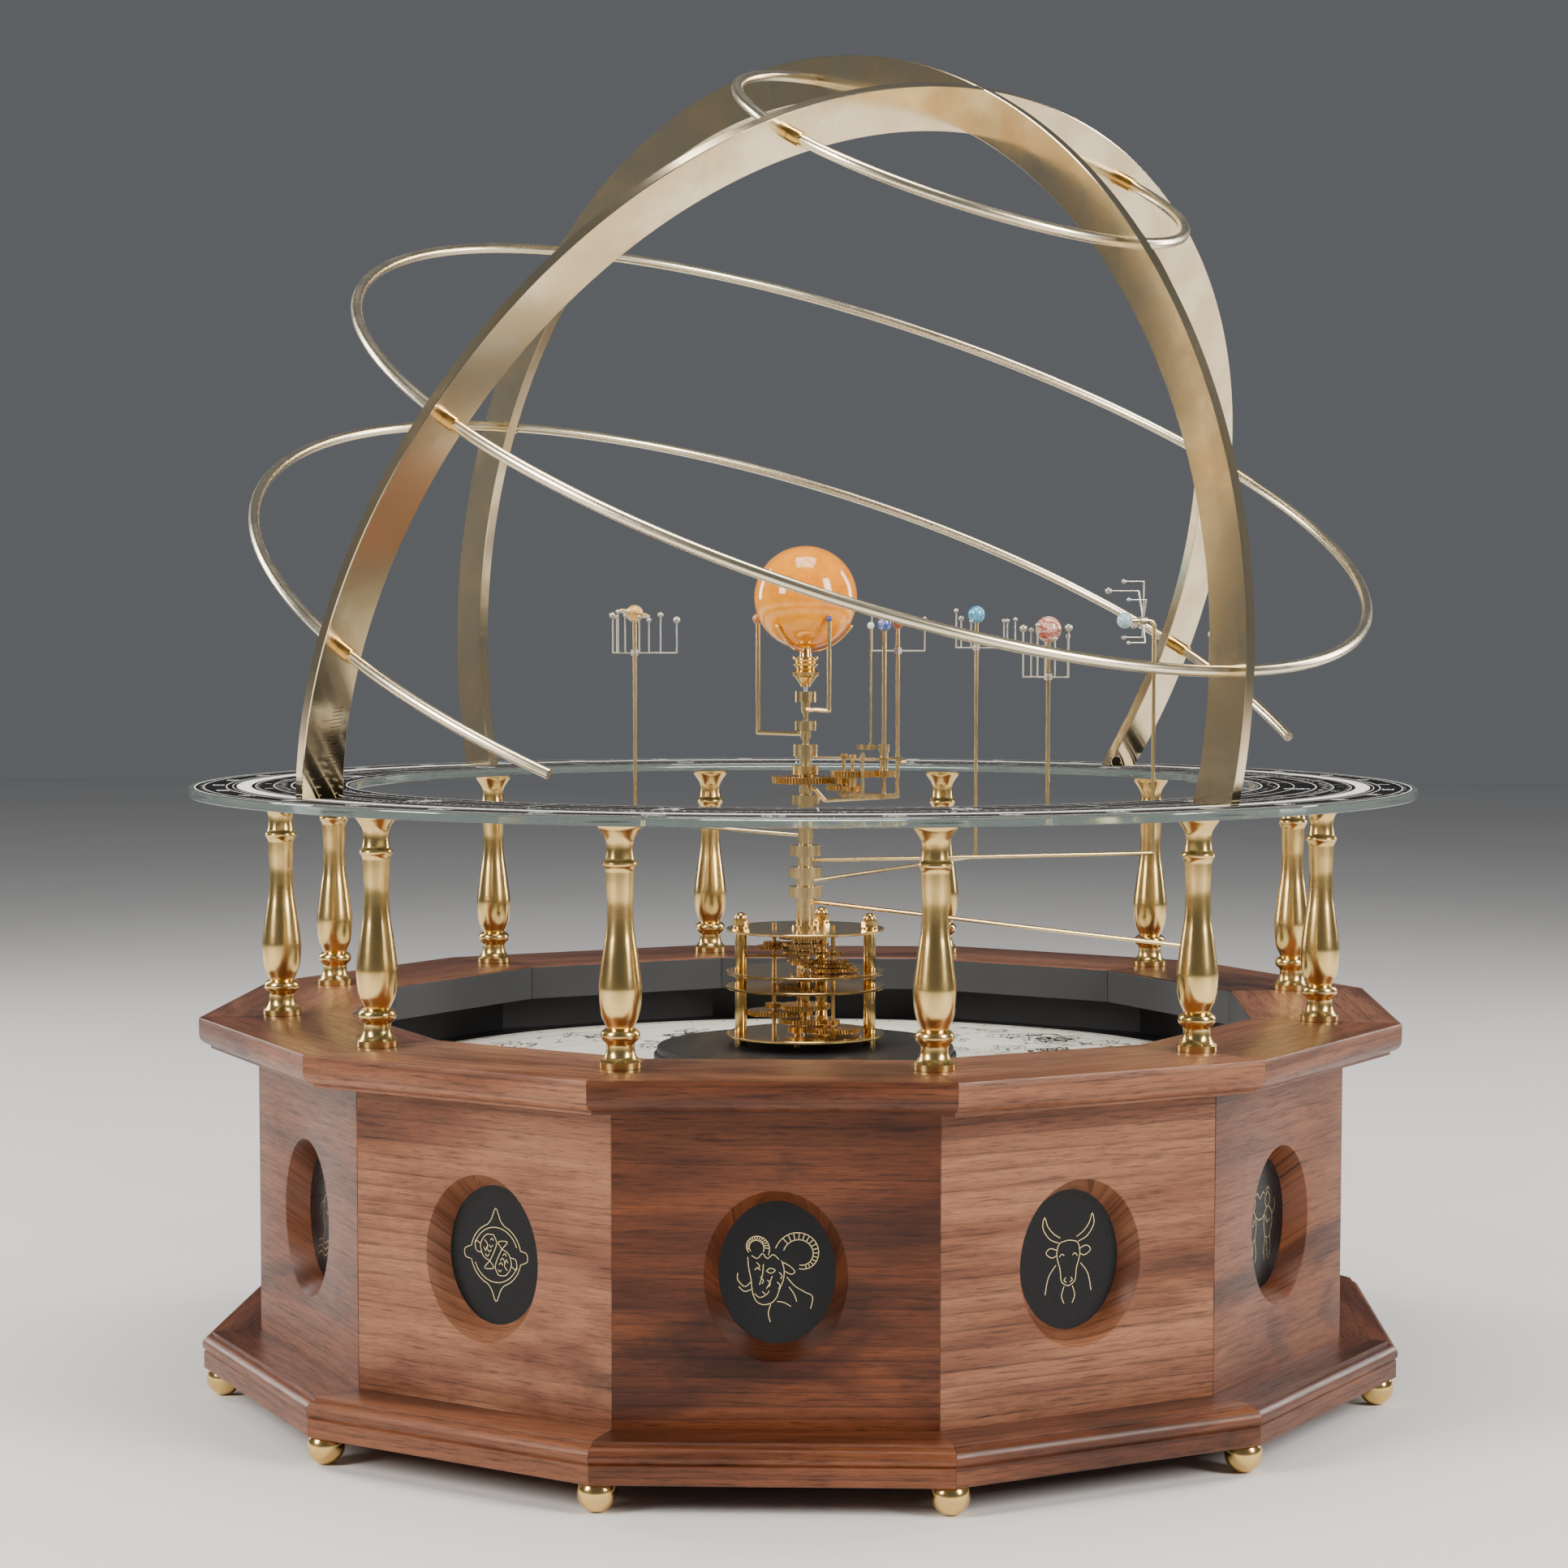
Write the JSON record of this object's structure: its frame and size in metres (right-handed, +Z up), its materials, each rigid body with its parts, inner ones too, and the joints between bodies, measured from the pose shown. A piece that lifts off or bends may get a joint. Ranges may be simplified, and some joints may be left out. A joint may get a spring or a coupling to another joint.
{
  "type": "orrery",
  "caption": "Geared orrery: planets on nested tubes turn under an armillary sphere of arcs and hoops, above a twelve-sided wooden base with a glass horizon ring and turned columns.",
  "frame": {"origin": "on the floor, under the middle of the sun and of the tub", "axes": "+Z up along the tube stack, -Y to the front panel, +X to the right seen from the front"},
  "size_m": [0.5887, 0.5888, 0.6339],
  "materials": {
    "walnut_panel": "satin varnished walnut, grain level",
    "walnut_moulding": "satin varnished walnut, mitred lengths",
    "black_board": "satin black",
    "black_medallion": "black with gold line engraving",
    "polished_brass": "polished and lacquered",
    "aged_brass": "brushed, lightly mottled",
    "pale_brass_rod": "polished drawn rod",
    "steel_rod": "drawn",
    "steel_wire": "polished wire with white beads",
    "printed_glass": "clear with black and white printed rings",
    "chart_print": "cream with black line printing",
    "orange_stone": "polished stone",
    "zinc_can": "plated can",
    "indigo_stone": "polished stone",
    "amber_stone": "polished stone",
    "lapis_stone": "polished stone, white veins",
    "pearl_bead": "pearl",
    "red_stone": "polished stone",
    "banded_stone": "polished banded stone",
    "tan_stone": "polished stone with a painted ring",
    "pale_blue_stone": "polished stone",
    "blue_stone": "polished stone",
    "grey_stone": "polished stone"
  },
  "bodies": {
    "base": {"side_panels": "walnut_panel", "crown_moulding": "walnut_moulding", "plinth_moulding": "walnut_moulding", "deck_board": "black_board", "inner_lining": "black_board", "zodiac_medallions": "black_medallion", "ball_feet": "polished_brass", "columns": "polished_brass", "column_studs": "steel_rod", "horizon_ring": "printed_glass", "solstice_arc": "aged_brass", "equinox_arc": "aged_brass", "equator_hoop": "pale_brass_rod", "tropic_hoop": "pale_brass_rod", "arctic_hoop": "pale_brass_rod", "hoop_ferrules": "aged_brass", "star_chart": "chart_print", "mechanism_plinth": "black_board", "gearbox_plates": "polished_brass", "gearbox_pillars": "polished_brass", "acorn_nuts": "polished_brass", "root_tube": "polished_brass", "centre_shaft": "steel_rod", "moon_sun_gear": "polished_brass", "sun_cup": "polished_brass", "sun_ball": "orange_stone", "drive_motor": "zinc_can"},
    "drive_pinion": {"drive_pinion": "polished_brass"},
    "fast_layshaft": {"fast_layshaft": "polished_brass"},
    "middle_layshaft": {"middle_layshaft": "polished_brass"},
    "slow_layshaft": {"slow_layshaft": "polished_brass"},
    "fast_idler": {"fast_idler": "polished_brass"},
    "slow_idler": {"slow_idler": "polished_brass"},
    "mercury": {"mercury_arm": "polished_brass", "mercury_ball": "indigo_stone"},
    "venus": {"venus_arm": "polished_brass", "venus_ball": "amber_stone"},
    "earth": {"earth_carriage": "polished_brass", "earth_ball": "lapis_stone"},
    "moon_first_gear": {"moon_first_gear": "polished_brass"},
    "moon_second_gear": {"moon_second_gear": "polished_brass"},
    "moon": {"moon_arm": "polished_brass", "moon_ball": "pearl_bead"},
    "mars": {"mars_arm": "polished_brass", "mars_ball": "red_stone"},
    "mars_moons": {"mars_moons": "steel_wire"},
    "jupiter": {"jupiter_arm": "polished_brass", "jupiter_ball": "banded_stone"},
    "jupiter_moons": {"jupiter_moons": "steel_wire"},
    "saturn": {"saturn_arm": "polished_brass", "saturn_ball": "tan_stone"},
    "saturn_moons": {"saturn_moons": "steel_wire"},
    "uranus": {"uranus_arm": "polished_brass", "uranus_ball": "pale_blue_stone"},
    "uranus_moons": {"uranus_moons": "steel_wire"},
    "neptune": {"neptune_arm": "polished_brass", "neptune_ball": "blue_stone"},
    "neptune_moons": {"neptune_moons": "steel_wire"},
    "pluto": {"pluto_arm": "polished_brass", "pluto_ball": "grey_stone"}
  },
  "joints": [
    {"name": "earth_orbit", "type": "hinge", "parent": "base", "child": "earth", "pos_m": [0, 0, 0.29], "axis": [0, 0, 1], "continuous": true},
    {"name": "drive_pinion_spin", "type": "hinge", "parent": "base", "child": "drive_pinion", "pos_m": [-0.00338, -0.01104, 0.167], "axis": [0, 0, 1], "continuous": true},
    {"name": "fast_layshaft_spin", "type": "hinge", "parent": "base", "child": "fast_layshaft", "pos_m": [0.01386, -0.008, 0.19], "axis": [0, 0, 1], "continuous": true},
    {"name": "middle_layshaft_spin", "type": "hinge", "parent": "base", "child": "middle_layshaft", "pos_m": [-0.01545, 0.00414, 0.19], "axis": [0, 0, 1], "continuous": true},
    {"name": "slow_layshaft_spin", "type": "hinge", "parent": "base", "child": "slow_layshaft", "pos_m": [-0.00387, 0.01552, 0.19], "axis": [0, 0, 1], "continuous": true},
    {"name": "fast_idler_spin", "type": "hinge", "parent": "base", "child": "fast_idler", "pos_m": [0, 0, 0.172], "axis": [0, 0, 1], "continuous": true},
    {"name": "slow_idler_spin", "type": "hinge", "parent": "base", "child": "slow_idler", "pos_m": [0, 0, 0.184], "axis": [0, 0, 1], "continuous": true},
    {"name": "mercury_orbit", "type": "hinge", "parent": "base", "child": "mercury", "pos_m": [0, 0, 0.29], "axis": [0, 0, 1], "continuous": true},
    {"name": "venus_orbit", "type": "hinge", "parent": "base", "child": "venus", "pos_m": [0, 0, 0.29], "axis": [0, 0, 1], "continuous": true},
    {"name": "mars_orbit", "type": "hinge", "parent": "base", "child": "mars", "pos_m": [0, 0, 0.29], "axis": [0, 0, 1], "continuous": true},
    {"name": "jupiter_orbit", "type": "hinge", "parent": "base", "child": "jupiter", "pos_m": [0, 0, 0.29], "axis": [0, 0, 1], "continuous": true},
    {"name": "saturn_orbit", "type": "hinge", "parent": "base", "child": "saturn", "pos_m": [0, 0, 0.29], "axis": [0, 0, 1], "continuous": true},
    {"name": "uranus_orbit", "type": "hinge", "parent": "base", "child": "uranus", "pos_m": [0, 0, 0.29], "axis": [0, 0, 1], "continuous": true},
    {"name": "neptune_orbit", "type": "hinge", "parent": "base", "child": "neptune", "pos_m": [0, 0, 0.29], "axis": [0, 0, 1], "continuous": true},
    {"name": "pluto_orbit", "type": "hinge", "parent": "base", "child": "pluto", "pos_m": [0, 0, 0.29], "axis": [0, 0, 1], "continuous": true},
    {"name": "moon_first_spin", "type": "hinge", "parent": "earth", "child": "moon_first_gear", "pos_m": [0.01879, -0.00684, 0.29], "axis": [0, 0, 1], "continuous": true},
    {"name": "moon_second_spin", "type": "hinge", "parent": "earth", "child": "moon_second_gear", "pos_m": [0.02341, -0.01845, 0.29], "axis": [0, 0, 1], "continuous": true},
    {"name": "moon_orbit", "type": "hinge", "parent": "earth", "child": "moon", "pos_m": [0.03853, -0.01402, 0.3], "axis": [0, 0, 1], "continuous": true},
    {"name": "mars_moons_turn", "type": "hinge", "parent": "mars", "child": "mars_moons", "pos_m": [0.04382, 0.04733, 0.3505], "axis": [0, 0, 1], "continuous": true},
    {"name": "jupiter_moons_turn", "type": "hinge", "parent": "jupiter", "child": "jupiter_moons", "pos_m": [0.11719, -0.02066, 0.3388], "axis": [0, 0, 1], "continuous": true},
    {"name": "saturn_moons_turn", "type": "hinge", "parent": "saturn", "child": "saturn_moons", "pos_m": [-0.09454, 0.11387, 0.3486], "axis": [0, 0, 1], "continuous": true},
    {"name": "neptune_moons_turn", "type": "hinge", "parent": "neptune", "child": "neptune_moons", "pos_m": [0.08368, 0.1811, 0.3512], "axis": [0, 0, 1], "continuous": true},
    {"name": "uranus_moons_turn", "type": "hinge", "parent": "uranus", "child": "uranus_moons", "pos_m": [0.16682, 0.06006, 0.366], "axis": [-0.9409, -0.3387, 0], "continuous": true}
  ],
  "couplings": [
    {"joint": "fast_layshaft_spin", "follows": "earth_orbit", "ratio": -1.2857},
    {"joint": "mercury_orbit", "follows": "earth_orbit", "ratio": 4.2},
    {"joint": "venus_orbit", "follows": "earth_orbit", "ratio": 1.6531},
    {"joint": "mars_orbit", "follows": "earth_orbit", "ratio": 0.54286},
    {"joint": "fast_idler_spin", "follows": "earth_orbit", "ratio": 0.2967},
    {"joint": "middle_layshaft_spin", "follows": "earth_orbit", "ratio": -0.07563},
    {"joint": "jupiter_orbit", "follows": "earth_orbit", "ratio": 0.085714},
    {"joint": "saturn_orbit", "follows": "earth_orbit", "ratio": 0.034377},
    {"joint": "slow_idler_spin", "follows": "earth_orbit", "ratio": 0.02521},
    {"joint": "slow_layshaft_spin", "follows": "earth_orbit", "ratio": -0.0084034},
    {"joint": "uranus_orbit", "follows": "earth_orbit", "ratio": 0.012282},
    {"joint": "neptune_orbit", "follows": "earth_orbit", "ratio": 0.0061322},
    {"joint": "pluto_orbit", "follows": "earth_orbit", "ratio": 0.004104},
    {"joint": "drive_pinion_spin", "follows": "earth_orbit", "ratio": 4.3393},
    {"joint": "moon_first_spin", "follows": "earth_orbit", "ratio": 4},
    {"joint": "moon_second_spin", "follows": "earth_orbit", "ratio": -7.1111},
    {"joint": "moon_orbit", "follows": "earth_orbit", "ratio": 12.367}
  ]
}
